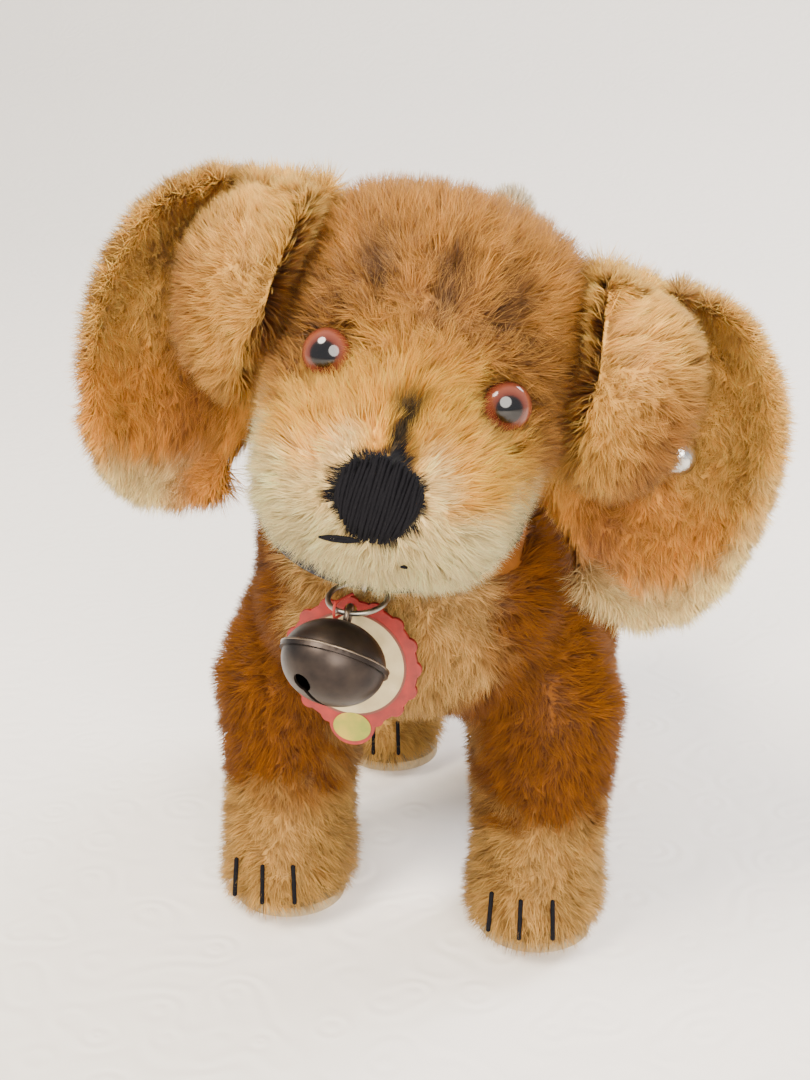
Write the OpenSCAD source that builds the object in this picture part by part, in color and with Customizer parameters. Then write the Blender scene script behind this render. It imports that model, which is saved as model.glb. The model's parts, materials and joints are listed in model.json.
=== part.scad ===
// Plush dog: mohair covers over wood wool, with a disc-jointed head, floppy ears,
// a collar with a bell, and a paper tag. The dog looks along -Y and stands on Z = 0.

/* [Body] */
// Length of the body from chest to rump, without the tail
body_length = 104; // [92:1:125]
// Width of the trunk
body_width = 62; // [54:1:70]
// Height of the trunk from belly to back
body_height = 47; // [42:1:54]
// Height of the trunk's middle above the floor
body_middle = 65; // [62:1:74]
// Thickness of mohair pile and its backing together
pile = 4.5; // [3:0.25:6]

/* [Legs] */
// Distance between the middles of a left and a right leg
leg_track = 48; // [42:1:56]
// Width of a leg at its thickest
leg_width = 31; // [26:0.5:35]
// Width of a paw
paw_width = 27; // [23:0.5:31]
// Length of a paw from heel to toes
paw_length = 34; // [28:0.5:38]
// Height of a paw
paw_height = 21; // [17:0.5:25]
// Radius of a sole
sole_r = 10.5; // [8.5:0.25:11.5]
// Thickness of a sole
sole_t = 2; // [1.5:0.25:3]
// Number of stitched claws on each paw
claw_count = 3; // [2:1:4]
// Radius of the wire in the legs
leg_wire_r = 1; // [0.75:0.25:1.5]

/* [Head] */
// Width of the skull
head_width = 50; // [42:1:56]
// Height of the skull
head_height = 50; // [44:1:56]
// Width of the muzzle
muzzle_width = 42; // [34:1:47]
// Reach of the muzzle in front of the neck joint
muzzle_reach = 50; // [46:0.5:56]
// Turn of the head towards the dog's left
head_turn = 7.5; // [0:0.5:15]
// Lean of the head towards the dog's left shoulder
head_lean = 15.5; // [0:0.5:17]
// Diameter of a glass eye
eye_d = 8; // [6:0.5:9]
// Distance between the middles of the eyes
eye_gap = 28; // [26:0.5:32]
// Width of the stitched nose
nose_width = 12.5; // [9:0.5:14]
// Height of the stitched nose
nose_height = 12; // [9:0.5:13]

/* [Ears] */
// Height of an ear
ear_height = 54; // [46:1:60]
// Width of an ear
ear_width = 35; // [30:1:40]
// Slant of the right ear in towards the cheek
ear_drop = 8; // [0:1:12]
// Turn of the right ear forward
ear_turn = 22; // [0:1:28]
// Diameter of the metal button in the left ear
button_d = 6; // [4:0.5:8]

/* [Neck joint] */
// Height of the neck joint above the floor
neck_height = 86; // [84:1:96]
// Forward slope of the neck joint's axis
neck_slope = 20; // [14:1:24]
// Lean of the neck joint's axis towards the dog's left shoulder
neck_lean = 5; // [0:1:8]
// Radius of the neck where the discs lie
neck_r = 20; // [18.5:0.25:21]
// Radius of the two hardboard discs
disc_r = 13; // [10:0.5:15]
// Thickness of a hardboard disc
disc_t = 2; // [1.5:0.25:2.5]
// Radius of the cotter pin
pin_r = 1; // [0.75:0.25:1.25]

/* [Collar and bell] */
// Inner radius of the collar
collar_r = 22; // [21:0.1:23]
// Width of the collar's strap
collar_width = 4.5; // [3.5:0.25:5]
// Thickness of the collar's strap
collar_t = 1.2; // [0.8:0.1:1.6]
// Radius of the bell
bell_r = 8.4; // [6.5:0.1:8.6]
// Wall of the bell
bell_t = 0.5; // [0.4:0.05:0.7]
// Radius of the pellet in the bell
pellet_r = 1.8; // [1.4:0.1:2.4]
// Radius of the paper tag
tag_r = 12; // [9.5:0.25:13]
// Thickness of the paper tag
tag_t = 0.8; // [0.5:0.1:1]

/* [Tail] */
// Height of the tail's tip above the floor
tail_top = 125; // [110:1:130]
// Radius of the tail at its root
tail_r = 8; // [7:0.25:9]

/* [Hidden] */

big = 400;                     // wider than the whole dog
blob_fn = 20;                  // facets of the padded shapes, outside
inner_fn = 10;                 // and inside, where the stuffing lies
gap = 0.3;                     // air between pieces that move past each other
fit = 0.05;                    // radial play of the pin in its holes
backing = 1.2;                 // fabric gathered over the face of a neck disc

// Places along the body, from front to back
chest_front = -43;
paw_front_y = -22;
rump_back = chest_front + body_length;
paw_rear_y = rump_back - 22;
joint_at = [-2.5, -24, neck_height];
track = leg_track / 2;
ear_root_x = head_width / 2 - 1; // from the head's middle to an ear's seam

// A point in the head's frame, which starts at the neck joint, as a point in the body's frame
function on_head(p) = joint_at + turn_z(turn_y(p, head_lean), head_turn);
function on_joint(p) = joint_at + turn_z(turn_y(turn_x(p, neck_slope), neck_lean), head_turn);
function turn_x(p, a) = [p[0], p[1] * cos(a) - p[2] * sin(a), p[1] * sin(a) + p[2] * cos(a)];
function turn_y(p, a) = [p[0] * cos(a) + p[2] * sin(a), p[1], p[2] * cos(a) - p[0] * sin(a)];
function turn_z(p, a) = [p[0] * cos(a) - p[1] * sin(a), p[0] * sin(a) + p[1] * cos(a), p[2]];

module placed() { translate(-middle) children(); }
module in_head() {
    translate(joint_at) rotate([0, 0, head_turn]) rotate([0, head_lean, 0]) children();
}
// From the head's frame to the neck joint's: Z along its axis, with the joint's plane at 0
module to_joint() { rotate([0, neck_lean - head_lean, 0]) rotate([neck_slope, 0, 0]) children(); }
module in_joint() { in_head() to_joint() children(); }

// An ellipsoid: [middle, radii], grown by g on every side
module blob(b, g = 0) {
    translate(b[0]) scale(b[1] + [g, g, g]) sphere(1, $fn = g < 0 ? inner_fn : blob_fn);
}
module chain(blobs, g = 0) {
    for (i = [1 : len(blobs) - 1]) hull() {
        blob(blobs[i - 1], g);
        blob(blobs[i], g);
    }
}

// ---- Body ----
bw = body_width / 2;
bh = body_height / 2;
trunk_blobs = [
    [[0, chest_front + 16, body_middle], [bw - 3, 16, bh - 1]],
    [[0, chest_front + 33, body_middle + 0.5], [bw, 18, bh]],
    [[0, (chest_front + rump_back) / 2 + 5, body_middle - 1], [bw - 3, 16, bh - 3]],
    [[0, rump_back - 24, body_middle - 1], [bw - 4, 19, bh - 0.5]],
    [[0, rump_back - 17, body_middle - 2], [bw - 8, 17, bh - 2.5]]
];
lw = leg_width / 2;
pw = paw_width / 2;
pl = paw_length / 2;
rear_x = track - 4.5;           // the rear legs stand closer together
paw_z = 0.37 * paw_height;
paw_rz = paw_height - paw_z;
front_leg_blobs = [
    [[track - 5, paw_front_y + 8, body_middle - 9], [lw - 1, 15, 15]],
    [[track, paw_front_y + 4, 43], [lw, 15, 14]],
    [[track, paw_front_y + 2, 23], [lw - 2, 13, 12]],
    [[track, paw_front_y, paw_z], [pw, pl, paw_rz]]
];
rear_leg_blobs = [
    [[track - 9.5, rump_back - 23, body_middle - 9], [lw - 1.5, 18, 17]],
    [[rear_x, rump_back - 19, 41], [lw - 3, 15.5, 14]],
    [[rear_x, rump_back - 17, 22], [lw - 4, 12, 12]],
    [[rear_x, paw_rear_y, paw_z], [pw - 1, pl, paw_rz]]
];
module both_sides() {
    children();
    mirror([1, 0, 0]) children();
}
module neck_shape(g) {
    hull() {
        blob([[0, chest_front + 27, body_middle + 3], [bw - 1, 16, bh - 8]], g);
        in_joint() translate([0, 0, -4]) cylinder(r = neck_r + g, h = 4, $fn = 36);
        in_joint() translate([0, 0, -11]) cylinder(r = neck_r + 4 + g, h = 3, $fn = 36);
    }
}
module above_soles() { translate([-big / 2, -big / 2, sole_t]) cube([big, big, big]); }
module below_joint(drop) {
    in_joint() translate([-big / 2, -big / 2, -drop]) cube([big, big, 60]);
}
module body_shape(g) {
    intersection() {
        union() {
            chain(trunk_blobs, g);
            neck_shape(g);
            both_sides() {
                chain(front_leg_blobs, g);
                chain(rear_leg_blobs, g);
            }
        }
        translate([0, 0, g < 0 ? backing : 0]) above_soles();
    }
}
module body_cover() {
    difference() {
        body_shape(0);
        difference() {
            body_shape(-pile);
            head_space(gap + backing);
        }
        head_space(gap);
        collar_room();
        thread_room();
        claw_rooms();
        in_joint() translate([0, 0, -12]) cylinder(r = pin_r + 0.8, h = 24, $fn = 24);
    }
}
// Everything on the head's side of the joint plane, near the neck
module head_space(drop) {
    in_joint() translate([0, 0, -drop]) cylinder(r = neck_r + 12, h = 60, $fn = 36);
}
seam_z = body_middle - 13;     // the belly gusset ends here
module under_seam(grow = 0) {
    translate([-track - grow, -big / 2, -1]) cube([2 * (track + grow), big, seam_z + 1 + grow]);
}
module body_side_left() {
    color("peru") difference() {
        body_cover();
        under_seam();
        translate([-big, -big / 2, -1]) cube([big, big, big]);
    }
}
module body_side_right() {
    color("peru") difference() {
        body_cover();
        under_seam();
        translate([0, -big / 2, -1]) cube([big, big, big]);
    }
}
module belly_gusset() {
    color("burlywood") intersection() {
        body_cover();
        under_seam();
    }
}
module body_stuffing() {
    color("wheat") difference() {
        body_shape(-pile - 0.1);
        head_space(gap + backing + 0.1);
        joint_room(-1);
        collar_room();
        leg_wires(leg_wire_r + 0.15, 0);
    }
}

// ---- Soles, claws and leg wires ----
sole_places = [[track, paw_front_y], [-track, paw_front_y],
    [rear_x, paw_rear_y], [-rear_x, paw_rear_y]];
module sole(i) {
    color("tan") translate([sole_places[i][0], sole_places[i][1], 0])
        cylinder(r = sole_r, h = sole_t, $fn = 48);
}
claw_r = 0.45;
module claw(i, k, r) {
    spread_deg = (k - (claw_count - 1) / 2) * 26;
    reach = (i < 2 ? pw : pw - 1) + 0.2;
    at = [sole_places[i][0], sole_places[i][1] - (pl - pw), 0];
    translate(at) rotate([0, 0, spread_deg]) hull() {
        translate([0, -reach + 1.2, 14]) sphere(r, $fn = 8);
        translate([0, -reach + 0.4, 7]) sphere(r, $fn = 8);
    }
}
module claws(i) {
    color("black") for (k = [0 : claw_count - 1]) claw(i, k, claw_r);
}
module claw_rooms() {
    for (i = [0 : 3], k = [0 : claw_count - 1]) claw(i, k, claw_r + 0.1);
}
// One wire makes both legs of a pair: down, across under the back, and down
module leg_wire(y, half_track, r, foot) {
    bend_r = 8;
    top = body_middle + 2;
    sides = foot > 0 ? 20 : 10;
    translate([0, y, 0]) {
        both_sides() {
            translate([half_track, 0, foot]) cylinder(r = r, h = top - bend_r - foot, $fn = sides);
            translate([half_track - bend_r, 0, top - bend_r]) rotate([90, 0, 0])
                rotate_extrude(angle = 90, $fn = 2 * sides) translate([bend_r, 0]) circle(r, $fn = sides);
        }
        translate([-half_track + bend_r, 0, top]) rotate([0, 90, 0])
            cylinder(r = r, h = 2 * (half_track - bend_r), $fn = sides);
    }
}
wire_front_y = paw_front_y + 6;
wire_rear_y = rump_back - 20;
wire_front_x = track - 5;
wire_rear_x = rear_x - 3;
wire_foot = sole_t + backing + 0.2;
module leg_wires(r, foot) {
    leg_wire(wire_front_y, wire_front_x, r, foot);
    leg_wire(wire_rear_y, wire_rear_x, r, foot);
}

// ---- Tail ----
tail_root = [0, rump_back - 5, body_middle + 14];
tail_blobs = [
    [tail_root, [tail_r, tail_r, tail_r]],
    [[0, rump_back + 1.5, tail_root[2] + 13], [0.94, 0.94, 0.94] * tail_r],
    [[0, rump_back + 6, tail_top - 20], [0.88, 0.88, 0.88] * tail_r],
    [[0, rump_back + 7, tail_top - 0.81 * tail_r], [0.81, 0.81, 0.81] * tail_r]
];
module tail_cover() {
    color("peru") difference() {
        chain(tail_blobs);
        chain(tail_blobs, -pile * 0.8);
        body_shape(0);
    }
}
module tail_stuffing() {
    color("wheat") difference() {
        chain(tail_blobs, -pile * 0.8 - 0.1);
        body_shape(0);
    }
}

// ---- Neck joint ----
washer_r = 4;
washer_t = 0.8;
body_face = -gap - backing - 0.1;      // the body disc's upper face
head_face = gap + backing + 0.1;       // the head disc's lower face
module ring_plate(r, h, hole) {
    difference() {
        cylinder(r = r, h = h, $fn = 64);
        translate([0, 0, -1]) cylinder(r = hole, h = h + 2, $fn = 32);
    }
}
module neck_disc_body() {
    color("saddlebrown") in_joint() translate([0, 0, body_face - disc_t])
        ring_plate(disc_r, disc_t, pin_r + fit);
}
module neck_washer_body() {
    color("silver") in_joint() translate([0, 0, body_face - disc_t - washer_t])
        ring_plate(washer_r, washer_t, pin_r + fit);
}
module neck_disc_head() {
    color("saddlebrown") in_joint() translate([0, 0, head_face])
        ring_plate(disc_r, disc_t, pin_r + fit);
}
module neck_washer_head() {
    color("silver") in_joint() translate([0, 0, head_face + disc_t])
        ring_plate(washer_r, washer_t, pin_r + fit);
}
// The pin's eye bears on the head's washer, and its two ends curl under the body's washer
curl_r = 2.2;
module neck_cotter_pin() {
    low = body_face - disc_t - washer_t;
    high = head_face + disc_t + washer_t;
    color("silver") in_joint() {
        translate([0, 0, low - 2]) cylinder(r = pin_r, h = high - low + 4, $fn = 32);
        translate([0, 0, high + curl_r + pin_r]) rotate([90, 0, 0])
            rotate_extrude($fn = 40) translate([curl_r, 0]) circle(pin_r, $fn = 24);
        for (a = [0, 180]) rotate([0, 0, a])
            translate([curl_r, 0, low - pin_r - 1]) rotate([90, 0, 0]) rotate([0, 0, 180])
                rotate_extrude(angle = 200, $fn = 40) translate([curl_r, 0])
                    circle(0.8 * pin_r, $fn = 24);
    }
}
// Room in the stuffing round the discs, washers and pin: side -1 is the body's, 1 the head's
module joint_room(side) {
    deep = disc_t + washer_t + 2 * (curl_r + pin_r) + 2;
    in_joint() mirror([0, 0, side < 0 ? 1 : 0]) {
        cylinder(r = disc_r + 0.1, h = head_face + disc_t + 0.1, $fn = 40);
        cylinder(r = washer_r + 0.1, h = head_face + disc_t + washer_t + 0.1, $fn = 32);
        cylinder(r = 2 * curl_r + pin_r + 0.3, h = head_face + deep, $fn = 24);
    }
}

// ---- Collar, buckle, staple and ring ----
collar_slope = neck_slope - 2;
ring_deg = 4.5;                // where the ring sits, from the front towards the dog's left
collar_at = on_joint([0, 0, -4.3]);
module in_collar() {
    translate(collar_at) rotate([0, 0, head_turn]) rotate([0, neck_lean, 0])
        rotate([collar_slope, 0, 0]) rotate([0, 0, ring_deg - head_turn]) children();
}
function in_collar_point(p) = collar_at
    + turn_z(turn_y(turn_x(turn_z(p, ring_deg - head_turn), collar_slope), neck_lean), head_turn);
module collar_band(inner, outer, width) {
    in_collar() translate([0, 0, -width / 2]) difference() {
        cylinder(r = outer, h = width, $fn = 72);
        translate([0, 0, -1]) cylinder(r = inner, h = width + 2, $fn = 72);
    }
}
module collar_strap() {
    color("#2b2a2c") collar_band(collar_r, collar_r + collar_t, collar_width);
}
module collar_room() {
    collar_band(collar_r - 0.2, collar_r + collar_t + 0.2, collar_width + 0.4);
    buckle_at() cube([5, 9, 9], center = true);
}
// The buckle lies on the strap at the dog's right
buckle_deg = 140;
module buckle_at() {
    in_collar() rotate([0, 0, buckle_deg]) translate([collar_r + collar_t + 0.9, 0, 0]) children();
}
module collar_buckle() {
    color("silver") buckle_at() {
        difference() {
            cube([1, 7, collar_width + 2.4], center = true);
            cube([3, 4.6, collar_width], center = true);
        }
        translate([0, 0.2, 0]) rotate([90, 0, 0]) cylinder(r = 0.4, h = 6.4, center = true, $fn = 16);
    }
}
staple_r = 1.5;
wire_r = 0.45;
strap_front = collar_r + collar_t;
module collar_staple() {
    color("silver") in_collar() rotate([0, 0, -90]) translate([strap_front, 0, 0]) {
        rotate([90, 0, 0]) rotate([0, 0, -90])
            rotate_extrude(angle = 180, $fn = 40) translate([staple_r, 0]) circle(wire_r, $fn = 16);
    }
}
ring_r = 4.8;
ring_slope = 80;
ring_top = in_collar_point([0, -strap_front - staple_r + 2 * wire_r + 0.15, 0]);
ring_dir = [0, -sin(ring_slope), -cos(ring_slope)];
ring_middle = ring_top + ring_r * ring_dir;
ring_low = ring_top + 2 * ring_r * ring_dir;
module collar_ring() {
    color("silver") translate(ring_middle) rotate([90 - ring_slope, 0, 0])
        rotate_extrude($fn = 48) translate([ring_r, 0]) circle(wire_r, $fn = 16);
}

// ---- Bell ----
eye_r = 1.6;
eye_x = -0.3;
bell_eye_at = ring_low + [eye_x, 0.1, -(eye_r - 2 * wire_r - 0.25)];
bell_squash = 0.81;            // the bell's height over its width
bell_tilt = 38;                // the chest and the tag hold the bell's foot forward
bell_roll = 10;                // and a little to the dog's right
bell_drop = eye_r + bell_squash * bell_r - 0.5;
module in_bell() {
    translate(bell_eye_at) rotate([-bell_tilt, bell_roll, 0]) translate([0, 0, -bell_drop]) children();
}
lip = 0.5;
module bell_eye() {
    color("#4a4644") difference() {
        translate(bell_eye_at) rotate([-bell_tilt, bell_roll, 0]) rotate([0, 90, 0])
            rotate_extrude($fn = 40) translate([eye_r, 0]) circle(wire_r, $fn = 16);
        in_bell() scale([1, 1, bell_squash]) sphere(bell_r, $fn = 64);
    }
}
module bell_shell(low) {
    in_bell() difference() {
        scale([1, 1, bell_squash]) sphere(bell_r, $fn = 64);
        scale([1, 1, bell_squash]) sphere(bell_r - bell_t, $fn = 64);
        translate([0, 0, low ? big / 2 : -big / 2]) cube(big, center = true);
    }
}
module bell_top() {
    color("#4a4644") {
        bell_shell(false);
        in_bell() difference() {
            cylinder(r = bell_r + lip, h = 1, $fn = 72);
            translate([0, 0, -1]) cylinder(r = bell_r - bell_t, h = 3, $fn = 72);
        }
    }
}
// Two round holes joined by a slot under the bell
hole_r = 1.6;
hole_deg = 46;
slot_turn = 56;                // the slot runs from front right to rear left
module bell_bottom() {
    color("#4a4644") difference() {
        bell_shell(true);
        in_bell() rotate([0, 0, slot_turn]) {
            for (a = [-hole_deg, hole_deg]) rotate([0, a, 0])
                translate([0, 0, -bell_r - 1]) cylinder(r = hole_r, h = 3, $fn = 32);
            difference() {
                translate([-bell_r - 1, -0.5, -bell_r - 1]) cube([2 * bell_r + 2, 1, bell_r + 1]);
                translate([-big / 2, -big / 2, -bell_squash * bell_r * cos(hole_deg)]) cube(big);
            }
        }
    }
}
module bell_pellet() {
    color("dimgray") in_bell() translate([0, 0, pellet_r + 0.1 - bell_squash * (bell_r - bell_t)])
        sphere(pellet_r, $fn = 48);
}

// ---- Paper tag on its thread ----
tag_x = -2.5;
tag_y = chest_front - 1.5 - tag_t / 2;
tag_top = ring_top[2] - collar_width / 2 - 0.5;
tag_middle = [ring_low[0] + tag_x, tag_y, tag_top - tag_r];
tag_hole_r = 1.1;
scallops = 16;
module tag_card() {
    color("#c9452f") translate(tag_middle) rotate([90, 0, 0])
        translate([0, 0, -tag_t / 2]) difference() {
            union() {
                cylinder(r = tag_r - 0.7, h = tag_t, $fn = 64);
                for (a = [0 : 360 / scallops : 359]) rotate([0, 0, a])
                    translate([tag_r - 1.5, 0, 0]) cylinder(r = 1.5, h = tag_t, $fn = 16);
                translate([0, 1 - tag_r, 0]) cylinder(r = 4, h = tag_t, $fn = 32);
            }
            translate([0, tag_r - 2.2, -1]) cylinder(r = tag_hole_r, h = tag_t + 2, $fn = 24);
        }
}
// The thread's end lies in the pile of the chest
module thread_room() {
    translate([ring_low[0] + tag_x, tag_y + loop_r, tag_top - 0.95]) sphere(1.9, $fn = 12);
}
// A stadium loop from the ring to the hole in the card, in a plane of constant X
thread_r = 0.25;
loop_r = 1.25;
module tag_thread() {
    from = ring_low + [tag_x, 0.75, 0];
    to = [ring_low[0] + tag_x, tag_y, tag_top - 0.95];
    run = norm(to - from);
    slope = atan2(to[2] - from[2], to[1] - from[1]);
    color("#b03428") translate(from) rotate([slope, 0, 0]) {
        for (z = [-loop_r, loop_r]) translate([0, 0, z]) rotate([-90, 0, 0])
            cylinder(r = thread_r, h = run, $fn = 16);
        for (end = [0, 1]) translate([0, end * run, 0]) rotate([0, 90, 0])
            rotate([0, 0, end * 180 + 180])
                rotate_extrude(angle = 180, $fn = 32) translate([loop_r, 0]) circle(thread_r, $fn = 16);
    }
}

// ---- Head, in its own frame: the neck joint is the origin ----
hw = head_width / 2;
hh = head_height / 2;
mw = muzzle_width / 2;
skull_at = [0, -11, 28];
skull = [skull_at, [hw, 23.5, hh]];
muzzle_at = [0, 16 - muzzle_reach, 10.5];
muzzle = [muzzle_at, [mw, 16, 16]];
module head_shape(g) {
    difference() {
        union() {
            for (s = [-1, 1]) hull() {
                blob(skull, g);
                blob([[s * (hw - 15), -8, 37], [14, 17, 14]], g);
            }
            for (s = [-1, 1]) hull() {
                blob([[s * (hw - 14), -18, 20], [13, 15, 13]], g);
                blob([[s * (mw - 12), muzzle_at[1], muzzle_at[2]], [12, 15, 14]], g);
            }
            hull() {
                blob([[0, -20, 21], [15, 15, 15]], g);
                blob(muzzle, g);
            }
            hull() {
                blob([[0, -17, 28], [15, 15, 16]], g);
                blob([[0, muzzle_at[1], muzzle_at[2] + 2], [12, 13.5, 13.5]], g);
            }
            hull() {
                blob([[0, -8, 20], [19, 17, 17]], g);
                to_joint() cylinder(r = neck_r - 0.4 + g, h = 4, $fn = 36);
            }
            hull() {
                blob([[0, -14, 24], [20, 18, 18]], g);
                blob([[0, -6, 32], [18, 18, 18]], g);
            }
        }
        to_joint() translate([-big / 2, -big / 2, -60 + (g < 0 ? gap + backing : gap)])
            cube([big, big, 60]);
    }
}
module head_cover() {
    in_head() difference() {
        head_shape(0);
        head_shape(-pile);
        eye_rooms(0.1);
        shank_rooms();
        nose_room();
        mouth_stitches(0.1);
        to_joint() cylinder(r = pin_r + 0.8, h = 12, $fn = 24);
    }
}
gusset_half = 9;
gusset_low = muzzle_at[2] + 8;
module gusset_zone() {
    in_head() translate([-gusset_half, -big / 2, gusset_low]) cube([2 * gusset_half, big, big]);
}
module head_half(side) {
    in_head() translate([side > 0 ? 0 : -big, -big / 2, -big / 2]) cube([big, big, big]);
}
module head_side(side) {
    color("#b98a4e") difference() {
        intersection() {
            head_cover();
            head_half(side);
        }
        gusset_zone();
    }
}
module head_gusset() {
    color("#b07c3c") intersection() {
        head_cover();
        gusset_zone();
    }
}
module head_stuffing() {
    color("wheat") difference() {
        in_head() head_shape(-pile - 0.1);
        joint_room(1);
        in_head() {
            eye_rooms(0.1);
            shank_rooms();
        }
    }
}

// ---- Eyes ----
eye_rad = eye_d / 2;
eye_z = 26;
eye_out = 12;                  // degrees that an eye looks out to its own side
eye_up = 10;                   // and up
eye_dome = 2.9;                // height of the glass over its flat back
eye_back_t = 0.6;
eye_y = -28.8;
module eye_at(s) {
    translate([s * eye_gap / 2, eye_y, eye_z]) rotate([0, 0, s * eye_out])
        rotate([90 - eye_up, 0, 0]) children();
}
// Z of this frame points out of the eye, and the glass's back is at 0
module glass_dome(grow = 0) {
    ball = (eye_rad * eye_rad + eye_dome * eye_dome) / (2 * eye_dome);
    intersection() {
        translate([0, 0, eye_dome - ball]) sphere(ball + grow, $fn = 64);
        cylinder(r = eye_rad + grow, h = eye_dome + grow, $fn = 64);
    }
}
module eye_glass(s) { color("#5a2f22") in_head() eye_at(s) glass_dome(); }
module eye_backing(s) {
    color("#1a1210") in_head() eye_at(s) translate([0, 0, -eye_back_t])
        cylinder(r = eye_rad - 0.1, h = eye_back_t, $fn = 64);
}
module eye_rooms(grow) {
    for (s = [-1, 1]) eye_at(s) {
        translate([0, 0, -eye_back_t - grow]) cylinder(r = eye_rad + grow, h = 14, $fn = 32);
    }
}
module shank_rooms() {
    for (s = [-1, 1]) shank_at(s) translate([0, 0, -14]) cylinder(r = 1.7, h = 14, $fn = 20);
}
module shank_at(s) { eye_at(s) translate([0, 0, -eye_back_t]) children(); }
// A wire loop behind the eye, with a thread's knot that holds it in the head
module eye_shank(s) {
    color("silver") in_head() shank_at(s) {
        translate([0, 0, -1.3]) rotate([90, 0, 0])
            rotate_extrude($fn = 32) translate([1.0, 0]) circle(0.3, $fn = 16);
        translate([0, 0, -12]) cylinder(r = 0.35, h = 9.7, $fn = 16);
    }
}

// ---- Nose and mouth ----
nose_at = [0, muzzle_at[1] - 15.2, muzzle_at[2] + 2.5];
nose_strands = 11;
strand_r = 0.62;
module nose_strand(k, r) {
    u = 2 * k / (nose_strands - 1) - 1;
    half = (nose_height / 2 - strand_r) * sqrt(1 - 0.82 * pow(abs(u), 2.6));
    x = u * (nose_width / 2 - strand_r);
    sink = 1.1 * u * u;
    hull() for (t = [-1, 0, 1])
        translate([x, sink + 1.7 * t * t * pow(half / (nose_height / 2), 2) - 0.7, half * t])
            sphere(r, $fn = 8);
}
module nose_stitching() {
    color("#15141a") in_head() translate(nose_at) rotate([-12, 0, 0])
        for (k = [0 : nose_strands - 1]) nose_strand(k, strand_r);
}
module nose_room() {
    translate(nose_at) rotate([-12, 0, 0])
        for (k = [0 : nose_strands - 1]) nose_strand(k, strand_r + 0.15);
}
mouth_r = 0.5;
module mouth_stitches(grow = 0) {
    hull() {
        translate([-1.2, muzzle_at[1] - 15.4, muzzle_at[2] - 4.2]) sphere(mouth_r + grow, $fn = 12);
        translate([-6.2, muzzle_at[1] - 14.3, muzzle_at[2] - 5.6]) sphere(mouth_r + grow, $fn = 12);
    }
    translate([6.4, muzzle_at[1] - 13.6, muzzle_at[2] - 6.6]) sphere(0.9 * mouth_r + grow, $fn = 12);
}
module mouth_stitching() { color("#15141a") in_head() mouth_stitches(); }

// ---- Ears, in the head's frame, drawn for the left side (+X) ----
ear_top = 49;
ear_shear = 0.16;              // how far the outer rim hangs lower, over the ear's width
ear_rows = 8;
ear_cols = 15;
hinge_at = [ear_root_x + 0.5, -9, 0];
// The free rim from the top of the root, round outside, to the bottom of the root
function rim(t) = let (a = 112 - 222 * t) [
    ear_root_x + ear_width / 2 + (ear_width / 2 + 0.6) * sign_pow(cos(a), 0.96),
    0,
    ear_top - ear_height / 2 + ear_height / 2 * sign_pow(sin(a), 0.96)
        - ear_shear * (1 + cos(a)) * ear_width / 2
];
function sign_pow(v, n) = sign(v) * pow(abs(v), n);
function root(t) = [ear_root_x - 3, 0, ear_top - 3 - t * ear_height * 0.62];
function ear_depth(s) = -8.5 + 9 * sin(180 * min(1, s * 0.95)) - 3 * s * s;
function ear_thick(s) = 3.6 - 2.2 * pow(s, 5);
function ear_mid(s, t) = let (p = root(t) * (1 - s) + rim(t) * s) [p[0], ear_depth(s), p[2]];
function ear_grid(side) = [
    for (i = [0 : ear_rows], j = [0 : ear_cols])
        let (s = i / ear_rows, t = j / ear_cols, m = ear_mid(s, t)) m + [0, side * ear_thick(s), 0]
];
function at(i, j) = i * (ear_cols + 1) + j;
ear_count = (ear_rows + 1) * (ear_cols + 1);
// One layer of the ear: side -1 is the front, 1 the back, and they meet at the middle
module ear_layer(side) {
    points = concat(ear_grid(0), ear_grid(side));
    n = ear_count;
    quads = concat(
        [for (i = [0 : ear_rows - 1], j = [0 : ear_cols - 1]) each [
            [at(i, j), at(i, j + 1), at(i + 1, j + 1)], [at(i, j), at(i + 1, j + 1), at(i + 1, j)]]],
        [for (i = [0 : ear_rows - 1], j = [0 : ear_cols - 1]) each [
            [n + at(i, j), n + at(i + 1, j + 1), n + at(i, j + 1)],
            [n + at(i, j), n + at(i + 1, j), n + at(i + 1, j + 1)]]],
        [for (i = [0 : ear_rows - 1], j = [0, ear_cols]) let (
            a = at(i, j), b = at(i + 1, j), c = n + b, d = n + a)
            each j == 0 ? [[a, b, c], [a, c, d]] : [[a, c, b], [a, d, c]]],
        [for (j = [0 : ear_cols - 1], i = [0, ear_rows]) let (
            a = at(i, j), b = at(i, j + 1), c = n + b, d = n + a)
            each i == 0 ? [[a, c, b], [a, d, c]] : [[a, b, c], [a, c, d]]]
    );
    faces = side < 0 ? quads : [for (f = quads) [f[2], f[1], f[0]]];
    polyhedron(points, faces, convexity = 6);
}
fold_radii = [11, 9, 16.5];
module ear_fold(side) {
    fold_at = [ear_root_x + (side > 0 ? 8.5 : 11.5), -15, 29];
    hull() {
        blob([fold_at, fold_radii]);
        blob([fold_at + [-6, 3, 5], [9, 8, 13]]);
    }
}
// The head, grown a little and turned against the ear through all of the ear's travel
module ear_room() {
    for (a = [-10, 2, 14]) translate(hinge_at) rotate([0, 0, -a]) translate(-hinge_at)
        head_shape(gap);
}
module ear_pose(side) {
    if (side > 0) children();
    else mirror([1, 0, 0]) translate(hinge_at + [0, 0, ear_top])
        rotate([0, 0, -ear_turn]) rotate([0, ear_drop, 0])
        translate(-hinge_at - [0, 0, ear_top]) children();
}
module ear_layer_on(side, layer) {
    in_head() difference() {
        ear_pose(side) {
            ear_layer(layer);
            if (layer < 0) intersection() {
                ear_fold(side);
                translate([0, -big - 6.7, -big / 2]) cube(big);
            }
        }
        if (side > 0) ear_room();
        else mirror([1, 0, 0]) ear_room();
        if (side > 0 && layer < 0) button_place() cylinder(r = 1.15, h = 20, center = true, $fn = 24);
    }
}
button_at = [ear_root_x + 20, -4, 20];
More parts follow.
